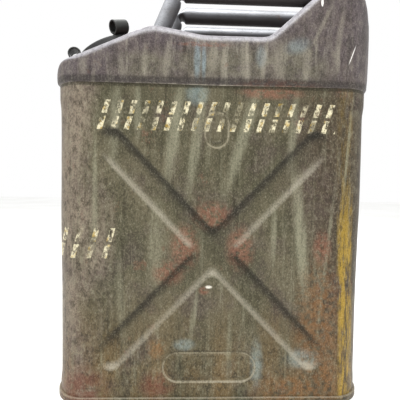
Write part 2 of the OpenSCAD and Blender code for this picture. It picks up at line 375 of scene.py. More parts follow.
def makeTankBody(material):
    low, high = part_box("body_shell")
    long, deep, tall = high.x - low.x, high.y - low.y, high.z - low.z
    deselectAll()
    bpy.ops.mesh.primitive_plane_add(size=1, location=(0, 0, low.z))
    body = startPiece("tankBody")
    bpy.ops.transform.resize(value=(long, deep, 1))
    bpy.ops.mesh.bevel(offset=tankBody["cornerRadius"], offset_type="OFFSET",
                       segments=tankBody["cornerSteps"], affect="VERTICES")
    bpy.ops.mesh.delete(type="ONLY_FACE")
    pick("edges", lambda edge: edge.calc_length() > 0.6 * long)
    bpy.ops.mesh.subdivide(number_cuts=tankBody["broadCuts"])
    pick("edges", lambda edge: edge.calc_length() > 0.5 * deep)
    bpy.ops.mesh.subdivide(number_cuts=tankBody["endCuts"])
    selectMesh()
    extrudeBy((0, 0, tall))
    pick("edges", lambda edge: abs(edge.verts[0].co.z - edge.verts[1].co.z) > 0.5 * tall)
    bpy.ops.mesh.subdivide(number_cuts=tankBody["heightCuts"])
    pick("faces", lambda face: abs(face.normal.y) > 0.99 and nearLoop(face.calc_center_median().x,
                                                                     face.calc_center_median().z))
    bpy.ops.mesh.subdivide(number_cuts=1)
    moveVerts(lambda place: pressIn(place, high.y))
    endEdit()
    panels = body.vertex_groups.new(name="panels")     # both rolled ends stay true
    for vert in body.data.vertices:
        fromEnd = min(high.z - vert.co.z, vert.co.z - low.z)
        panels.add([vert.index], smooth((fromEnd - tankBody["stiffEnd"]) / tankBody["stiffEnd"]), "REPLACE")
    denting = bpy.data.textures.new("gentle dents", type="CLOUDS")
    denting.noise_scale = tankBody["dentSize"]
    denting.noise_depth = 1
    applyModifier(body, "DISPLACE", texture=denting, texture_coords="LOCAL", mid_level=1.0,
                  strength=tankBody["dentDeep"], vertex_group="panels")
    applyModifier(body, "SOLIDIFY", thickness=tankBody["sheet"], offset=-1)
    settle(body, angle=50)
    finishPiece(body, "can", ["body_shell"], material)


# base rim

baseRim = {
    "cornerSteps": 16, "sideCuts": 30, "wall": 4.6 * mm, "rounding": 1.4 * mm,
    "creaseAt": 3.2 * mm, "creaseHalf": 1 * mm, "creaseDeep": 0.5 * mm}


def planRing(name, low, high, radius, steps, z):
    # closed outline of the tank's plan as a ring of edges, left in edit mode
    deselectAll()
    bpy.ops.mesh.primitive_plane_add(size=1, location=((low.x + high.x) / 2, (low.y + high.y) / 2, z))
    piece = startPiece(name)
    bpy.ops.transform.resize(value=(high.x - low.x, high.y - low.y, 1))
    bpy.ops.mesh.bevel(offset=radius, offset_type="OFFSET", segments=steps, affect="VERTICES")
    bpy.ops.mesh.delete(type="ONLY_FACE")
    pick("edges", lambda edge: edge.calc_length() > 0.05)
    bpy.ops.mesh.subdivide(number_cuts=baseRim["sideCuts"])
    selectMesh()
    return piece


def makeBaseRim(material):
    low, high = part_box("base_rim")
    radius = tankBody["cornerRadius"] + (high.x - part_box("body_shell")[1].x)
    rim = planRing("baseRim", low, high, radius, baseRim["cornerSteps"], low.z)
    crease = baseRim["creaseAt"]
    heights = [crease - baseRim["creaseHalf"], crease, crease + baseRim["creaseHalf"], high.z - low.z]
    shrinkX = 1 - 2 * baseRim["creaseDeep"] / (high.x - low.x)
    shrinkY = 1 - 2 * baseRim["creaseDeep"] / (high.y - low.y)
    reached = 0
    for height in heights:
        extrudeBy((0, 0, height - reached))
        if height == crease:    # the lock line of the rolled seam is pinched in
            bpy.ops.transform.resize(value=(shrinkX, shrinkY, 1))
        elif reached == crease:
            bpy.ops.transform.resize(value=(1 / shrinkX, 1 / shrinkY, 1))
        reached = height
    endEdit()
    applyModifier(rim, "SOLIDIFY", thickness=baseRim["wall"], offset=-1, use_even_offset=True)
    applyModifier(rim, "BEVEL", width=baseRim["rounding"], segments=4, limit_method="ANGLE",
                  angle_limit=math.radians(50))
    settle(rim, angle=50)
    finishPiece(rim, "can", ["base_rim"], material)


# top shell

topShell = {
    "merge": 0.00002, "quadFace": math.radians(50), "quadShape": math.radians(60),
    "dentSize": 0.07, "dentDeep": 1.2 * mm}


def makeTopShell(material):
    # the drawn top: its panels are joined up, turned to quads and smoothed
    deselectAll()
    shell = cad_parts["top_shell"].copy()
    shell.data = shell.data.copy()
    shell.parent = None
    for key in [k for k in shell.keys() if k.startswith("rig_")]:
        del shell[key]
    bpy.context.scene.collection.objects.link(shell)
    bpy.context.view_layer.objects.active = shell
    shell.select_set(True)
    startPiece("topShell")
    bpy.ops.mesh.remove_doubles(threshold=topShell["merge"])
    bpy.ops.mesh.tris_convert_to_quads(face_threshold=topShell["quadFace"],
                                       shape_threshold=topShell["quadShape"])
    bpy.ops.object.mode_set(mode="OBJECT")
    applyModifier(shell, "SUBSURF", levels=1, render_levels=1)
    denting = bpy.data.textures.new("soft dents", type="CLOUDS")
    denting.noise_scale = topShell["dentSize"]
    denting.noise_depth = 1
    applyModifier(shell, "DISPLACE", texture=denting, texture_coords="LOCAL", mid_level=1.0,
                  strength=topShell["dentDeep"])
    settle(shell, angle=60)
    finishPiece(shell, "can", ["top_shell"], material)


# handles

handleRow = {"near": -53 * mm, "centre": 0, "far": 53 * mm}     # where each handle stands along Y

handleTube = {
    "radius": 9.6 * mm, "wall": 1.6 * mm, "sides": 32,
    "bendRadius": 13 * mm, "slant": math.radians(67),
    "footX": -64 * mm, "footZ": 411 * mm, "barZ": 459 * mm,
    "legSteps": 12, "bendSteps": 12,
    "humpRise": 0.91,       # slope of the hump's front face, which the bar's end follows
    "intoHump": 0.4 * mm, "offRidge": 0.2 * mm,
    "crush": 0.6,           # share of the tube's thickness lost where it was bent
    "crushFull": 2 * mm,    # how far from the middle of the bend the pinch is full
    "crushRun": 7.5 * mm,   # and how far beyond that it fades out
    "spread": 0.12}         # how much wider the crushed stretch gets


def crushed(place, y, bendX):
    # the bend is pinched flat towards the tube's middle line
    tube = handleTube
    centre = Vector((bendX, tube["barZ"] - tube["bendRadius"]))
    flat = Vector((place.x, place.z)) - centre
    angle = math.atan2(flat.y, flat.x)
    top, side = math.radians(90), math.radians(90) + tube["slant"]
    limited = min(max(angle, top), side)
    outward = Vector((math.cos(limited), math.sin(limited)))
    alongside = Vector((-outward.y, outward.x))
    run = abs(flat.dot(alongside)) + abs(limited - (top + side) / 2) * tube["bendRadius"]
    amount = 1 - smooth((run - tube["crushFull"]) / tube["crushRun"])
    middle = tube["bendRadius"]
    radial = flat.dot(outward)
    squeezed = middle + (radial - middle) * (1 - tube["crush"] * amount)
    flat += outward * (squeezed - radial)
    wide = y + (place.y - y) * (1 + tube["spread"] * amount)
    return Vector((centre.x + flat.x, wide, centre.y + flat.y))


def makeHandle(name, node, y, material):
    tube = handleTube
    low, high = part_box(node)
    rise = tube["barZ"] - tube["footZ"]
    cornerX = tube["footX"] + rise / math.tan(tube["slant"])
    reach = tube["bendRadius"] * math.tan(tube["slant"] / 2)
    legLong = rise / math.sin(tube["slant"]) - reach
    legWay = Vector((math.cos(tube["slant"]), 0, math.sin(tube["slant"])))
    deselectAll()
    bpy.ops.mesh.primitive_circle_add(vertices=tube["sides"], radius=tube["radius"],
                                      location=(tube["footX"], y, tube["footZ"]),
                                      rotation=(0, math.radians(90) - tube["slant"], 0))
    handle = startPiece(name)
    bpy.ops.object.mode_set(mode="OBJECT")
    bpy.ops.object.transform_apply(location=True, rotation=True, scale=True)
    bpy.ops.object.mode_set(mode="EDIT")
    selectMesh()
    for step in range(tube["legSteps"]):
        extrudeBy(legWay * legLong / tube["legSteps"])
    bendX = cornerX + reach
    bpy.ops.mesh.spin(steps=tube["bendSteps"], angle=-tube["slant"],
                      center=(bendX, y, tube["barZ"] - tube["bendRadius"]), axis=(0, 1, 0))
    barLong = high.x - bendX
    for share in [0.01] * 12 + [0.11] * 8:      # short steps first, where the pinch fades out
        extrudeBy((barLong * share, 0, 0))
    moveVerts(lambda place: crushed(place, y, bendX))
    middle = high.x - tube["radius"] / tube["humpRise"]

    def endsCut(place):
        # the bar stops at the hump's slanted face, the leg at the ridge of the deck
        stop = middle + (place.z - tube["barZ"]) / tube["humpRise"] + tube["intoHump"]
        return Vector((min(place.x, stop), place.y, max(place.z, low.z + tube["offRidge"])))
    moveVerts(endsCut)
    endEdit()
    applyModifier(handle, "SOLIDIFY", thickness=tube["wall"], offset=-1)
    settle(handle, angle=50)
    finishPiece(handle, "can", [node], material)


# filler cap

fillerCap = {
    "slope": math.radians(24.1), "foot": Vector((-123.2, 0, 390.3)) * mm,
    "radius": 41.5 * mm, "top": 23.5 * mm, "low": 4.6 * mm, "wall": 1.7 * mm,
    "dish": 1.1 * mm, "dishRadius": 27 * mm, "rounding": 3.2 * mm, "steps": 96,
    "loopRadius": 8 * mm, "loopWide": 18 * mm, "loopOut": 40.3 * mm,
    "loopTurn": math.radians(8.6), "strip": 1.8 * mm, "stripRun": 20 * mm,
    "roll": math.radians(319)}      # the strip's end comes round onto its own flat


def fillerMatrix():
    return Matrix.Translation(fillerCap["foot"]) @ Matrix.Rotation(-fillerCap["slope"], 4, "Y")


def capOutline():
    # half section of the drawn cap: out over the top, down, and back up inside
    cap = fillerCap
    r, top, low, wall, dish = cap["radius"], cap["top"], cap["low"], cap["wall"], cap["dish"]
    rounding, step = cap["rounding"], cap["dishRadius"]
    points = [(0, top - dish), (step - 3 * mm, top - dish), (step - 1 * mm, top - dish * 0.8),
              (step + 1 * mm, top - dish * 0.15), (step + 3 * mm, top)]
    side = r - 0.6 * mm
    for k in range(7):
        a = math.radians(90 - 15 * k)
        points.append((side - rounding + rounding * math.cos(a), top - rounding + rounding * math.sin(a)))
    points += [(side, low + 4 * mm), (r - 0.2 * mm, low + 3.2 * mm)]
    for k in range(7):     # curled lower edge
        a = math.radians(60 - 35 * k)
        points.append((r - 1.2 * mm + 1.2 * mm * math.cos(a), low + 1.3 * mm + 1.3 * mm * math.sin(a)))
    points += [(r - wall, low + 3 * mm), (r - wall, top - wall), (0, top - wall - dish)]
    return points


def makeCapShell(material):
    cap = fillerCap
    deselectAll()
    bpy.ops.mesh.primitive_plane_add(size=1)
    shell = startPiece("capShell")
    bpy.ops.mesh.merge(type="CENTER")
    outline = capOutline()
    bpy.ops.transform.translate(value=(outline[0][0], 0, outline[0][1]))
    for here, there in zip(outline, outline[1:]):
        extrudeBy((there[0] - here[0], 0, there[1] - here[1]))
    selectMesh()
    bpy.ops.mesh.spin(steps=cap["steps"], angle=math.radians(360), center=(0, 0, 0), axis=(0, 0, 1))
    endEdit()
    shell.matrix_world = fillerMatrix()
    settle(shell, angle=35)
    finishPiece(shell, "cap", ["cap_shell"], material)


def makeCapLoop(name, node, number, material):
    # a strip lies on the cap, then rolls up and over into a loop at its edge
    cap = fillerCap
    wide, radius, strip = cap["loopWide"], cap["loopRadius"], cap["strip"]
    deselectAll()
    bpy.ops.mesh.primitive_plane_add(size=1)
    ear = startPiece(name)
    bpy.ops.transform.resize(value=(1, wide, 1))
    pick("verts", lambda vert: vert.co.x > 0)
    bpy.ops.mesh.delete(type="VERT")
    selectMesh()
    bpy.ops.mesh.subdivide(number_cuts=5)
    selectMesh()
    bpy.ops.transform.translate(value=(0.5 - cap["stripRun"], 0, 0))
    extrudeBy((cap["stripRun"] - 1 * mm, 0, 0))
    extrudeBy((1 * mm, 0, 0))
    bpy.ops.mesh.spin(steps=30, angle=cap["roll"], center=(0, 0, radius), axis=(0, 1, 0))
    endEdit()
    applyModifier(ear, "SOLIDIFY", thickness=strip, offset=-1)
    bpy.ops.object.mode_set(mode="EDIT")
    pick("verts", lambda vert: True)
    bpy.ops.mesh.normals_make_consistent(inside=False)
    bpy.ops.object.mode_set(mode="OBJECT")
    applyModifier(ear, "BEVEL", width=0.5 * mm, segments=2, limit_method="ANGLE",
                  angle_limit=math.radians(60))
    turn = math.pi + cap["loopTurn"] + number * math.radians(120)
    ear.matrix_world = (fillerMatrix() @ Matrix.Rotation(turn, 4, "Z")
                        @ Matrix.Translation((cap["loopOut"], 0, cap["top"])))
    settle(ear, angle=45)
    finishPiece(ear, "cap", [node], material)


# weld beads

weldBead = {
    "thick": 2.3 * mm, "ripples": 26, "rippleDeep": 0.45 * mm, "uneven": 0.12,
    "clear": 0.8 * mm,      # how far the bead's middle stands off the tube
    "footX": -62.2 * mm, "footRise": 1.4 * mm, "footTilt": math.radians(8), "footStretch": 1.07,
    "humpBack": 0.6 * mm, "humpTilt": -math.radians(42.3), "humpStretch": 1.42}


def makeWeldRing(name, centre, radius, tilt, stretch, thick):
    # one run of weld round a tube: a thin ring with overlapping ripples
    deselectAll()
    bpy.ops.mesh.primitive_torus_add(major_radius=radius, minor_radius=thick,
                                     major_segments=104, minor_segments=10)
    ring = startPiece(name)

    def ripple(place):
        around = math.atan2(place.y, place.x)
        out = Vector((math.cos(around), math.sin(around), 0)) * radius
        swell = 1 + weldBead["rippleDeep"] / thick * (abs(math.sin(around * weldBead["ripples"] / 2)) - 0.6)
        swell *= 1 + weldBead["uneven"] * math.sin(around * 3 + centre[1] * 60)
        return out + (place - out) * swell
    moveVerts(ripple)
    endEdit()
    ring.matrix_world = (Matrix.Translation(centre) @ Matrix.Rotation(tilt, 4, "Y")
                         @ Matrix.Diagonal((stretch, 1, 1, 1)))
    settle(ring, angle=60)
    return ring


# finishes

def streaks(tree, place, width, long, low, high, shift=0):
    # stains that ran down: narrow across, long in height
    return noiseField(tree, place, width, (1, 1, long / width), 5, 0.6, low, high, shift)


def facing(tree, low, high, toLow=0.0, toHigh=1.0):
    # how far the surface looks up: painted shade goes under edges, painted highlight on top of them
    normal = addNode(tree, "NewGeometry").outputs["Normal"]
    return mapField(tree, addNode(tree, "SeparateXYZ", {0: normal}).outputs[2], low, high, toLow, toHigh)


def speckled(tree, place, area, size, low, high, shift=0):
    # an area broken into specks
    return combine(tree, "MULTIPLY", area, noiseField(tree, place, size, (1, 1, 1), 6, 0.7, low, high, shift))


def addAll(tree, masks):
    total = masks[0]
    for mask in masks[1:]:
        total = combine(tree, "MAXIMUM", total, mask)
    return total


dashRows = {   # worn stencil dashes: middle height, height, from and to along X, pitch, width, slant
    "front": (316.5 * mm, 31 * mm, -126 * mm, 131 * mm, 14.2 * mm, 5.6 * mm, 0.30),
    "corner": (178.5 * mm, 33 * mm, -190 * mm, -106 * mm, 17 * mm, 5.6 * mm, 0.30),
    "soft": 0.7 * mm, "bridge": 1.6 * mm,
    "nearSide": (0.01, -0.01)}     # along Y: none on the far side


def dashes(tree, place, row):
    middle, tall, start, stop, pitch, wide, slant = dashRows[row]
    soft = dashRows["soft"]
    axes = addNode(tree, "SeparateXYZ", {0: place}).outputs
    up = combine(tree, "SUBTRACT", axes[2], middle)
    across = combine(tree, "SUBTRACT", axes[0], start)
    slanted = combine(tree, "SUBTRACT", across, combine(tree, "MULTIPLY", up, slant))
    beat = combine(tree, "FRACT", combine(tree, "DIVIDE", slanted, pitch))
    offMiddle = combine(tree, "ABSOLUTE", combine(tree, "SUBTRACT", beat, 0.5))
    offMiddle = combine(tree, "MULTIPLY", offMiddle, pitch)
    bar = mapField(tree, offMiddle, wide / 2 + soft / 2, wide / 2 - soft / 2)
    height = combine(tree, "ABSOLUTE", up)
    inHeight = mapField(tree, height, tall / 2 + soft / 2, tall / 2 - soft / 2)
    bridge = mapField(tree, height, dashRows["bridge"] - soft / 2, dashRows["bridge"] + soft / 2)
    inRow = combine(tree, "MULTIPLY", mapField(tree, across, -soft, soft),
                    mapField(tree, axes[0], stop + soft, stop - soft))
    nearSide = mapField(tree, axes[1], *dashRows["nearSide"])
    mask = bar
    for part in (inHeight, bridge, inRow, nearSide):
        mask = combine(tree, "MULTIPLY", mask, part)
    return mask


bodyPaint = {   # brushed-on olive-drab enamel: chalky, streaked, rubbed through to rust in places
    "mid": "#423f2d", "light": "#58523f", "dark": "#262213", "brown": "#43382a", "pale": "#87856f",
    "left": "#766a5c", "gold": "#65502f", "violet": "#463937", "rust": "#7c5140", "orange": "#805427",
    "red": "#623526", "yellow": "#a08228", "cream": "#d8cfae", "chip": "#dcd6c8", "blue": "#82918e",
    # the last two colours on the next line: painted shade under edges, painted highlight on top of them
    "wornAndLit": "#958d77", "paintedShade": "#151208", "rubbedAndHighlight": "#a39d8c",
    "grainDark": "#1d1a12", "grainPale": "#a39c8a",
    # where a change starts and is full, in metres along X, and how far noise sways that edge
    "chalkEnd": (-0.110, -0.150), "brownEnd": (0.07, 0.125), "sway": (-0.02, 0.02),
    # and along Z: ochre dust at the foot, painted shadow right under the seam
    "dustFoot": (0.15, 0.01), "underSeam": (0.3455, 0.3475),
    # how far the surface faces down for painted shade, and up for painted highlight
    "shadeFacing": (-0.06, -0.42), "highlightFacing": (0.15, 0.50),
    "outerX": (0.08, 0.14, 0.4, 1), "outerZ": (0.10, 0.04, 0.4, 1),     # mottle is stronger near the edges
    "stripe": {"lean": 0.039, "left": (0.143, 0.149), "right": (0.166, 0.161), "near": (0.0, -0.03),
               "thins": (0.17, 0.27, 1.0, 0.18)},
    "loopLineWide": 1.5 * mm,
    # soft spots: middle and half size in millimetres along X and Z
    "rustSpots": [((-1, 209), (19, 14)), ((-31, 174), (14, 22)), ((-48, 146), (15, 13)),
                  ((30, 173), (13, 22)), ((60, 343), (30, 6)), ((121, 176), (9, 16)), ((-9, 127), (5, 4))],
    "violetSpots": [((110, 240), (26, 40)), ((-150, 60), (20, 30))],
    "orangeSpots": [((98, 12), (38, 20)), ((120, 90), (22, 60)), ((128, 25), (14, 30)),
                    ((-60, 62), (8, 10))],
    "redSpots": [((-143, 12), (24, 26)), ((-60, 20), (16, 14))],
    "chips": [((-4, 131), (3.2, 1.6))],
    "coolSpots": [((103, 49), (17, 9)), ((51, 44), (6, 24)), ((-20, 340), (11, 10)),
                  ((-30, 66), (10, 6))],
    # pale runs: middle, lean in degrees, half width and half length, strength
    "runs": [((-107, 312), -4, (5, 40), 0.5), ((-83, 323), 0, (3.5, 28), 0.45),
             ((-44, 300), -8, (6, 52), 0.6), ((-20, 290), -8, (5, 54), 0.6),
             ((29, 290), -16, (6, 52), 0.6), ((85, 300), -4, (4, 38), 0.5),
             ((97, 185), 6, (6, 64), 0.75), ((67, 189), 0, (3, 32), 0.5), ((-20, 98), -7, (3, 28), 0.5),
             ((-62, 176), 0, (8, 44), 0.35), ((125, 150), -5, (2, 90), 0.4), ((-128, 230), 0, (3, 60), 0.4),
             ((20, 60), 0, (3, 40), 0.35), ((-100, 110), 3, (4, 50), 0.3), ((146, 280), -4, (1.5, 50), 0.6)]}


def scaled(spots):
    return [((x * mm, z * mm), (w * mm, h * mm)) for (x, z), (w, h) in spots]


def turnedPatch(tree, place, centre, angle, size, edge=0.3):
    turned = addNode(tree, "VectorRotate", {"Vector": place, "Center": (centre[0], 0, centre[1]),
                                            "Angle": math.radians(angle)}, rotation_type="Y_AXIS")
    return patch(tree, turned.outputs[0], centre, size, edge)


def spotMask(tree, place, spots, edge, size, low, high, shift=0):
    # several soft spots, all broken into specks
    area = addAll(tree, [patch(tree, place, c, half, edge) for c, half in scaled(spots)])
    return speckled(tree, place, area, size, low, high, shift)


def placedRuns(tree, place, runs, edge=0.6):
    # long soft marks, each with its own lean and strength
    masks = []
    for (x, z), lean, (w, h), strength in runs:
        mark = turnedPatch(tree, place, (x * mm, z * mm), lean, (w * mm, h * mm), edge)
        masks.append(faded(tree, mark, strength))
    return addAll(tree, masks)


def loopLine(tree, place, name, wide):
    # the line of a pressed loop: the same outline that the stamping uses
    start, stop, half, line = loopMarks[name]
    nearest = addNode(tree, "VectorMath", {0: place, 1: (start[0], 0, start[1])}, operation="MAXIMUM")
    nearest = addNode(tree, "VectorMath", {0: nearest.outputs[0], 1: (stop[0], 0, stop[1])},
                      operation="MINIMUM")
    flat = addNode(tree, "VectorMath", {0: place, 1: (1, 0, 1)}, operation="MULTIPLY")
    away = addNode(tree, "VectorMath", {0: flat.outputs[0], 1: nearest.outputs[0]}, operation="DISTANCE")
    off = combine(tree, "ABSOLUTE", combine(tree, "SUBTRACT", away.outputs["Value"], half + line * 0.45))
    return mapField(tree, off, wide, wide * 0.3)


def makeBodyPaint(name, marks=True):
    # brushed enamel gone chalky: hardly any shine, so its streaks and rust carry the look
    material, tree, shader = newMaterial(name, **{"Specular IOR Level": 0.2})
    place = objectPlace(tree)
    axes = addNode(tree, "SeparateXYZ", {0: place}).outputs
    paint = {key: paintColour(code) for key, code in bodyPaint.items() if isinstance(code, str)}
    blotch = noiseField(tree, place, 45 * mm, (1, 1, 1.6), 6, 0.65, 0.35, 0.66)
    colour = layer(tree, paint["mid"], paint["light"], blotch)
    # the filler end kept more of its pale chalk, the hump end went brown
    edgeNoise = noiseField(tree, place, 26 * mm, (1, 1, 4), 5, 0.6, 0.3, 0.7, 3)
    sway = mapField(tree, edgeNoise, 0, 1, *bodyPaint["sway"], "LINEAR")
    swayed = combine(tree, "ADD", axes[0], sway)
    chalky = mapField(tree, swayed, *bodyPaint["chalkEnd"])
    colour = layer(tree, colour, paint["left"], chalky, 0.9)
    browned = mapField(tree, swayed, *bodyPaint["brownEnd"])
    colour = layer(tree, colour, paint["brown"], browned, 0.85)
    low = faded(tree, mapField(tree, axes[2], *bodyPaint["dustFoot"]), edgeNoise)
    colour = layer(tree, colour, paint["gold"], low, 0.9)
    violet = noiseField(tree, place, 38 * mm, (1, 1, 1.2), 5, 0.65, 0.5, 0.7, 7)
    spots = spotMask(tree, place, bodyPaint["violetSpots"], 0.7, 9 * mm, 0.3, 0.6)
    violet = combine(tree, "MAXIMUM", violet, spots)
    colour = layer(tree, colour, paint["violet"], violet, 0.5)
    # fine mottle all over
    mottle = noiseField(tree, place, 6 * mm, (1, 1, 1.6), 6, 0.72, 0.33, 0.67, 51)
    outer = combine(tree, "MAXIMUM", mapField(tree, combine(tree, "ABSOLUTE", swayed), *bodyPaint["outerX"]),
                    mapField(tree, axes[2], *bodyPaint["outerZ"]))
    specks = faded(tree, outer, mapField(tree, mottle, 0.5, 0))
    colour = layer(tree, colour, paint["dark"], specks, 0.65)
    specks = faded(tree, outer, mapField(tree, mottle, 0.55, 1))
    colour = layer(tree, colour, paint["pale"], specks, 0.25)
    # runs of pale and dark down the sides
    fine = streaks(tree, place, 6 * mm, 120 * mm, 0.55, 0.75)
    colour = layer(tree, colour, paint["pale"], fine, 0.3)
    darkRuns = streaks(tree, place, 8 * mm, 110 * mm, 0.54, 0.72, 11)
    colour = layer(tree, colour, paint["dark"], darkRuns, 0.55)
    runs = placedRuns(tree, place, bodyPaint["runs"])
    thin = streaks(tree, place, 2.5 * mm, 40 * mm, 0.2, 0.7, 19)
    runs = faded(tree, runs, mapField(tree, thin, 0, 1, 0.45, 1, "LINEAR"))
    colour = layer(tree, colour, paint["pale"], runs)
    cool = spotMask(tree, place, bodyPaint["coolSpots"], 0.6, 9 * mm, 0.25, 0.6)
    colour = layer(tree, colour, paint["blue"], cool, 0.5)
    # rust where the paint was rubbed off
    rust = spotMask(tree, place, bodyPaint["rustSpots"], 0.5, 5 * mm, 0.36, 0.56)
    stray = faded(tree, noiseField(tree, place, 30 * mm, (1, 1, 1.5), 7, 0.78, 0.60, 0.70, 23), 0.6)
    rust = combine(tree, "MAXIMUM", rust, stray)
    colour = layer(tree, colour, paint["rust"], rust, 0.6)
    orange = spotMask(tree, place, bodyPaint["orangeSpots"], 0.7, 7 * mm, 0.38, 0.6, 5)
    colour = layer(tree, colour, paint["orange"], orange, 0.5)
    red = spotMask(tree, place, bodyPaint["redSpots"], 0.6, 12 * mm, 0.3, 0.55, 9)
    colour = layer(tree, colour, paint["red"], red, 0.65)
    if marks:
        # a run of yellow paint down the near corner at the hump end
        plan = bodyPaint["stripe"]
        lean = combine(tree, "ADD", axes[0], combine(tree, "MULTIPLY", axes[2], plan["lean"]))
        stripe = faded(tree, mapField(tree, lean, *plan["left"]), mapField(tree, lean, *plan["right"]))
        stripe = faded(tree, stripe, mapField(tree, axes[1], *plan["near"]))
        wearAndHighlight = noiseField(tree, place, 5 * mm, (1, 1, 7), 6, 0.75, 0.40, 0.58, 31)
        lower = mapField(tree, axes[2], *plan["thins"])
        stripe = faded(tree, stripe, faded(tree, wearAndHighlight, lower))
        colour = layer(tree, colour, paint["yellow"], stripe, 0.8)
        dash = combine(tree, "MAXIMUM", dashes(tree, place, "front"), dashes(tree, place, "corner"))
        rubbedAndHighlight = noiseField(tree, place, 4.2 * mm, (1, 1, 1.3), 7, 0.75, 0.42, 0.56, 41)
        patchy = noiseField(tree, place, 24 * mm, (1, 1, 1), 2, 0.5, 0.36, 0.56, 43)
        kept = faded(tree, rubbedAndHighlight, mapField(tree, patchy, 0, 1, 0.2, 0.9, "LINEAR"))
        colour = layer(tree, colour, paint["cream"], faded(tree, dash, kept))
        tinted = noiseField(tree, place, 7 * mm, (1, 1, 1), 3, 0.6, 0.55, 0.65, 47)
        ochre = faded(tree, dash, tinted)
        colour = layer(tree, colour, paint["yellow"], ochre, 0.6)
        chips = spotMask(tree, place, bodyPaint["chips"], 0.5, 2 * mm, 0.3, 0.45)
        colour = layer(tree, colour, paint["chip"], chips)
        wide = bodyPaint["loopLineWide"]
        lines = combine(tree, "MAXIMUM", loopLine(tree, place, "upper", wide),
                        loopLine(tree, place, "lower", wide))
        broken = noiseField(tree, place, 12 * mm, (1, 1, 1), 5, 0.6, 0.3, 0.5, 53)
        colour = layer(tree, colour, paint["wornAndLit"], faded(tree, lines, broken), 0.5)
    # painted shadow right under the seam
    shade = mapField(tree, axes[2], *bodyPaint["underSeam"])
    colour = layer(tree, colour, paint["dark"], shade, 0.7)
    # painted shade under the pressed edges, painted highlight on top of them
    paintedShade = facing(tree, *bodyPaint["shadeFacing"])
    colour = layer(tree, colour, paint["paintedShade"], paintedShade, 0.9)
    rubbedAndHighlight = facing(tree, *bodyPaint["highlightFacing"])
    colour = layer(tree, colour, paint["rubbedAndHighlight"], rubbedAndHighlight, 0.7 if marks else 0.3)
    grain = noiseField(tree, place, 1.5 * mm, (1, 1, 1.5), 5, 0.75, 0.3, 0.7)
    colour = layer(tree, colour, paint["grainDark"], mapField(tree, grain, 0.5, 0), 0.5)
    colour = layer(tree, colour, paint["grainPale"], mapField(tree, grain, 0.6, 1), 0.25)
    rough = mapField(tree, combine(tree, "ADD", rust, runs), 0, 1.4, 0.44, 0.78, "LINEAR")
    brushed = streaks(tree, place, 1.3 * mm, 30 * mm, 0.25, 0.75, 17)
    height = combine(tree, "ADD", faded(tree, grain, 0.6), faded(tree, brushed, 0.5))
    height = combine(tree, "SUBTRACT", height, faded(tree, rust, 0.5))
    finishShader(tree, shader, colour, rough, height, 0.4, 0.35 * mm)
    return material


topPaint = {   # the same enamel, thicker and smoother on the drawn top, gone purple-grey
    "mid": "#544b46", "olive": "#5a5647", "violet": "#463d40", "pale": "#8c8677", "blue": "#7d9097",
    # edge on the next line is the painted highlight colour of the upper edges
    "rust": "#6f4432", "drip": "#2a221a", "white": "#e6e3de", "edge": "#a5a4aa", "dark": "#26211c",
    "ledgeHighlight": "#b5ae9b", "grainDark": "#1c1814", "grainPale": "#98938c",
    # where a change starts and where it is full, in metres along Z
    # the next two lines set a band of painted shade over the seam and a thin painted highlight on its ledge
    "runsBelow": (0.415, 0.385, 0.3, 1.0), "shadeBandTop": (0.3585, 0.3550), "shadeBandFoot": (0.3500, 0.3515),
    "ledgeHeight": (0.3505, 0.3498), "nearSide": (-0.05, -0.07),     # the last one along Y
    "edgeHighlightFacing": (0.15, 0.6), "levelLess": (0.80, 0.97, 0.75, 0.2),     # level places get less of the painted highlight
    # soft spots: middle and half size in millimetres along X and Z
    "olivePlaces": [((10, 372), (70, 18)), ((90, 375), (30, 24)), ((-70, 368), (40, 12))],
    "violetPlaces": [((-130, 372), (34, 20)), ((140, 425), (44, 44)), ((120, 400), (30, 26)),
                     ((-45, 395), (24, 10))],
    # middle, lean in degrees, half width and half length, strength
    "runs": [((-4, 378), 0, (4, 17), 0.45), ((8, 372), -6, (3, 20), 0.5), ((30, 374), 3, (5, 20), 0.4),
             ((50, 372), -4, (3, 18), 0.5), ((66, 376), 0, (6, 18), 0.3), ((96, 372), -3, (4, 22), 0.35),
             ((-52, 372), -5, (4, 18), 0.4), ((-75, 370), 0, (3, 16), 0.35), ((-100, 366), 4, (3, 14), 0.3),
             ((-140, 364), 0, (5, 10), 0.3), ((130, 400), -8, (3, 30), 0.3),
             ((112, 415), -25, (2, 22), 0.35)],
    "blueRuns": [((-20.5, 374), 0, (3.2, 17), 0.6), ((-13.5, 373), 0, (2.2, 16), 0.6),
                 ((86, 392), 20, (12, 7), 0.3), ((47, 380), 0, (5, 10), 0.3)],
    "drips": [((-34, 386), 0, (2, 7), 0.8), ((165, 405), -10, (6, 18), 0.5)],
    "scratches": [((145.5, 384.5), -20, (0.45, 10), 0.9), ((111, 438), 0, (1.2, 4), 0.9)],
    "rustSpots": [((-14, 391), (26, 2.2)), ((66, 351), (40, 5))]}


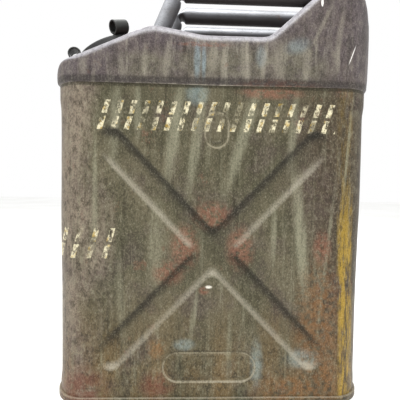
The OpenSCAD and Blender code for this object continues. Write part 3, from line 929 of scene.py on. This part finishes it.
def makeTopPaint():
    # thicker enamel on smooth sheet: a faint sheen, and a painted highlight on the upper edges
    material, tree, shader = newMaterial("olive drab enamel on the drawn top", **{"Specular IOR Level": 0.25})
    place = objectPlace(tree)
    axes = addNode(tree, "SeparateXYZ", {0: place}).outputs
    paint = {key: paintColour(code) for key, code in topPaint.items() if isinstance(code, str)}
    blotch = noiseField(tree, place, 35 * mm, (1, 1, 1.4), 6, 0.65, 0.35, 0.65, 2)
    colour = layer(tree, paint["mid"], paint["violet"], blotch, 0.7)
    olive = spotMask(tree, place, topPaint["olivePlaces"], 0.6, 14 * mm, 0.25, 0.6, 5)
    colour = layer(tree, colour, paint["olive"], olive, 0.85)
    violet = spotMask(tree, place, topPaint["violetPlaces"], 0.6, 12 * mm, 0.25, 0.6, 15)
    colour = layer(tree, colour, paint["violet"], violet, 0.7)
    mottle = noiseField(tree, place, 7 * mm, (1, 1, 1.8), 6, 0.72, 0.33, 0.67, 55)
    colour = layer(tree, colour, paint["dark"], mapField(tree, mottle, 0.5, 0), 0.5)
    colour = layer(tree, colour, paint["pale"], mapField(tree, mottle, 0.55, 1), 0.2)
    paleRuns = streaks(tree, place, 7 * mm, 60 * mm, 0.52, 0.70, 3)
    below = mapField(tree, axes[2], *topPaint["runsBelow"])
    colour = layer(tree, colour, paint["pale"], faded(tree, faded(tree, paleRuns, 0.45), below))
    darkRuns = streaks(tree, place, 6 * mm, 70 * mm, 0.54, 0.72, 13)
    colour = layer(tree, colour, paint["dark"], darkRuns, 0.5)
    nearSide = mapField(tree, axes[1], *topPaint["nearSide"])
    runs = placedRuns(tree, place, topPaint["runs"])
    colour = layer(tree, colour, paint["pale"], runs)
    blue = faded(tree, placedRuns(tree, place, topPaint["blueRuns"]), nearSide)
    blue = faded(tree, blue, mapField(tree, mottle, 0, 1, 0.5, 1))
    colour = layer(tree, colour, paint["blue"], blue)
    drip = faded(tree, placedRuns(tree, place, topPaint["drips"]), nearSide)
    colour = layer(tree, colour, paint["drip"], drip)
    rust = combine(tree, "MAXIMUM", spotMask(tree, place, topPaint["rustSpots"], 0.5, 5 * mm, 0.38, 0.58),
                   faded(tree, noiseField(tree, place, 22 * mm, (1, 1, 1), 6, 0.75, 0.62, 0.74, 29), 0.5))
    colour = layer(tree, colour, paint["rust"], rust, 0.6)
    # painted shade in the joggle over the seam, where the sheet curls in facing down
    band = faded(tree, mapField(tree, axes[2], *topPaint["shadeBandTop"]),
                 mapField(tree, axes[2], *topPaint["shadeBandFoot"]))
    colour = layer(tree, colour, paint["dark"], band, 0.6)
    # a thin painted highlight along the seam's ledge
    ledgeHighlight = faded(tree, mapField(tree, axes[2], *topPaint["ledgeHeight"]),
                  mapField(tree, mottle, 0, 1, 0.3, 1))
    colour = layer(tree, colour, paint["ledgeHighlight"], ledgeHighlight, 0.5)
    bright = faded(tree, placedRuns(tree, place, topPaint["scratches"], 0.3), nearSide)
    colour = layer(tree, colour, paint["white"], bright)
    # painted highlight on the upper edges, where they face the light above
    wornAndLit = faded(tree, facing(tree, *topPaint["edgeHighlightFacing"]),
                 mapField(tree, mottle, 0, 1, 0.6, 1.0, "LINEAR"))
    wornAndLit = faded(tree, wornAndLit, facing(tree, *topPaint["levelLess"]))
    colour = layer(tree, colour, paint["edge"], wornAndLit)
    grain = noiseField(tree, place, 1.5 * mm, (1, 1, 1.3), 5, 0.75, 0.3, 0.7, 6)
    colour = layer(tree, colour, paint["grainDark"], mapField(tree, grain, 0.5, 0), 0.5)
    colour = layer(tree, colour, paint["grainPale"], mapField(tree, grain, 0.6, 1), 0.22)
    rough = mapField(tree, combine(tree, "ADD", rust, paleRuns), 0, 1.4, 0.36, 0.66, "LINEAR")
    height = combine(tree, "SUBTRACT", faded(tree, grain, 0.6), faded(tree, rust, 0.4))
    finishShader(tree, shader, colour, rough, height, 0.3, 0.3 * mm)
    return material


wornSteel = {
    # the first colour on the next line is the painted shade on the undersides
    "paintedShade": "#1d1510", "rust": "#54382b", "shadeReach": 0.6,
    # material name; colours: base, pale for the painted highlight, dark; roughness and metal;
    # facing where the painted highlight starts and is full; shift of the noise; facing where the painted
    # shade starts
    # bare under thin paint: a painted highlight as a bright grey line on top, brown painted shade beneath
    "handle": ("cold-drawn steel tube, paint worn off", "#4f4f53", "#a0a2a6", "#332d29", 0.40, 0.5,
               (-0.35, 0.35), 0, -0.2),
    # dull and black, with hardly a highlight: only a faint painted highlight on top, painted shade beneath
    "cap": ("pressed steel cap, black with age", "#1d1d1c", "#2e2e2d", "#0f0f0e", 0.62, 0.08,
            (0.5, 1.2), 3, -0.05),
    # dark strip with a painted highlight where it curls up
    "loop": ("rolled steel strip", "#2b2c29", "#8b8d8b", "#141412", 0.42, 0.5, (0.45, 0.95), 6, -0.05),
    # painted over: dark, with a small painted glint where each ripple faces up
    "weld": ("painted weld bead", "#2a2724", "#4f4b47", "#151210", 0.55, 0.2, (0.3, 1.0), 9, -0.05),
    # clean grey metal that shows when the cap is up
    "neck": ("turned steel neck", "#56534c", "#7b7972", "#2c2924", 0.4, 0.6, (0.3, 1.0), 12, -0.05),
    # the brightest metal here, inside the cap
    "plate": ("plated steel disc", "#8a8b8a", "#a9aaa8", "#5a5750", 0.35, 0.8, (0.3, 1.0), 15, -0.05)}


def makeWornSteel(kind):
    # steel with its paint handled away, with a painted highlight that makes it paler on top and painted shade
    # that darkens it underneath
    name, base, pale, dark, rough, metal, wearAndHighlight, shift, shadeFrom = wornSteel[kind]
    material, tree, shader = newMaterial(name)
    place = objectPlace(tree)
    blotch = noiseField(tree, place, 14 * mm, (2.2, 1, 1), 5, 0.65, 0.35, 0.65, shift)
    colour = layer(tree, paintColour(base), paintColour(dark), blotch, 0.5)
    # painted highlight: the faces that look up take the pale colour
    upward = faded(tree, facing(tree, *wearAndHighlight), mapField(tree, blotch, 0, 1, 1.0, 0.7, "LINEAR"))
    colour = layer(tree, colour, paintColour(pale), upward)
    # painted shade: the faces that look down take a dark brown
    paintedShade = facing(tree, shadeFrom, shadeFrom - wornSteel["shadeReach"])
    colour = layer(tree, colour, paintColour(wornSteel["paintedShade"]), paintedShade, 0.8)
    rust = noiseField(tree, place, 9 * mm, (2, 1, 1), 6, 0.75, 0.58, 0.72, shift + 4)
    colour = layer(tree, colour, paintColour(wornSteel["rust"]), rust, 0.5)
    grain = noiseField(tree, place, 1.2 * mm, (3, 1, 1), 4, 0.7, 0.3, 0.7, shift)
    pits = mapField(tree, grain, 0.45, 0)
    colour = layer(tree, colour, paintColour(dark), pits, 0.4)
    roughness = mapField(tree, combine(tree, "ADD", rust, grain), 0, 1.6, rough, rough + 0.25, "LINEAR")
    metallic = mapField(tree, combine(tree, "SUBTRACT", upward, rust), 0, 1, metal * 0.4, metal, "LINEAR")
    height = combine(tree, "SUBTRACT", grain, rust)
    finishShader(tree, shader, colour, roughness, height, 0.25, 0.2 * mm, metallic)
    return material


rubberRing = {"base": "#232220", "powdery": "#33312e"}


def makeRubber():
    # moulded nitrile: matt black, faintly powdery
    material, tree, shader = newMaterial("moulded nitrile rubber", IOR=1.52)
    place = objectPlace(tree)
    bloom = noiseField(tree, place, 8 * mm)
    grain = noiseField(tree, place, 1 * mm)
    colour = layer(tree, paintColour(rubberRing["base"]), paintColour(rubberRing["powdery"]), bloom)
    finishShader(tree, shader, colour, mapField(tree, bloom, 0, 1, 0.7, 0.85), grain, 0.2, 0.1 * mm)
    return material


# everything together

def makeWelds(material):
    bead, tube = weldBead, handleTube
    radius = tube["radius"] + bead["clear"]
    for name, y in handleRow.items():
        low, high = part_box("handle_" + name)
        foot = Vector((bead["footX"], y, low.z + bead["footRise"]))
        ring = makeWeldRing("footWeld" + name.title(), foot, radius, bead["footTilt"], bead["footStretch"],
                            bead["thick"] / 2)
        finishPiece(ring, "can", [], material)
        middle = high.x - tube["radius"] / tube["humpRise"]
        end = Vector((middle - bead["humpBack"], y, tube["barZ"]))
        ring = makeWeldRing("humpWeld" + name.title(), end, radius, bead["humpTilt"], bead["humpStretch"],
                            bead["thick"] / 2)
        finishPiece(ring, "can", [], material)


olivePaint = makeBodyPaint("olive drab enamel, chalky")
rimPaint = makeBodyPaint("olive drab enamel on rolled edges", marks=False)
upperPaint = makeTopPaint()
handleSteel = makeWornSteel("handle")
capSteel = makeWornSteel("cap")
loopSteel = makeWornSteel("loop")
weldSteel = makeWornSteel("weld")
neckSteel = makeWornSteel("neck")
rubber = makeRubber()
plateSteel = makeWornSteel("plate")
print("finishes done")

makeTankBody(olivePaint)
makeBaseRim(rimPaint)
makeTopShell(upperPaint)
for name, y in handleRow.items():
    makeHandle("handle" + name.title(), "handle_" + name, y, handleSteel)
makeWelds(weldSteel)
makeCapShell(capSteel)
for number, name in enumerate(("front", "near", "far")):
    makeCapLoop("capLoop" + name.title(), "cap_ear_" + name, number, loopSteel)

cadFinish = {
    "body_side_seam": olivePaint, "bottom_pan": rimPaint, "shoulder_seam": rimPaint,
    "handle_front_welds": weldSteel, "handle_rear_welds": weldSteel, "filler_neck": neckSteel,
    "neck_weld": weldSteel, "neck_thread": neckSteel, "cap_thread": capSteel, "cap_ear_welds": weldSteel,
    "cap_gasket": rubber, "gasket_retainer": plateSteel}
for node, material in cadFinish.items():
    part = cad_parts[node]
    part.data.materials.clear()
    part.data.materials.append(material)
print("CAD parts painted")
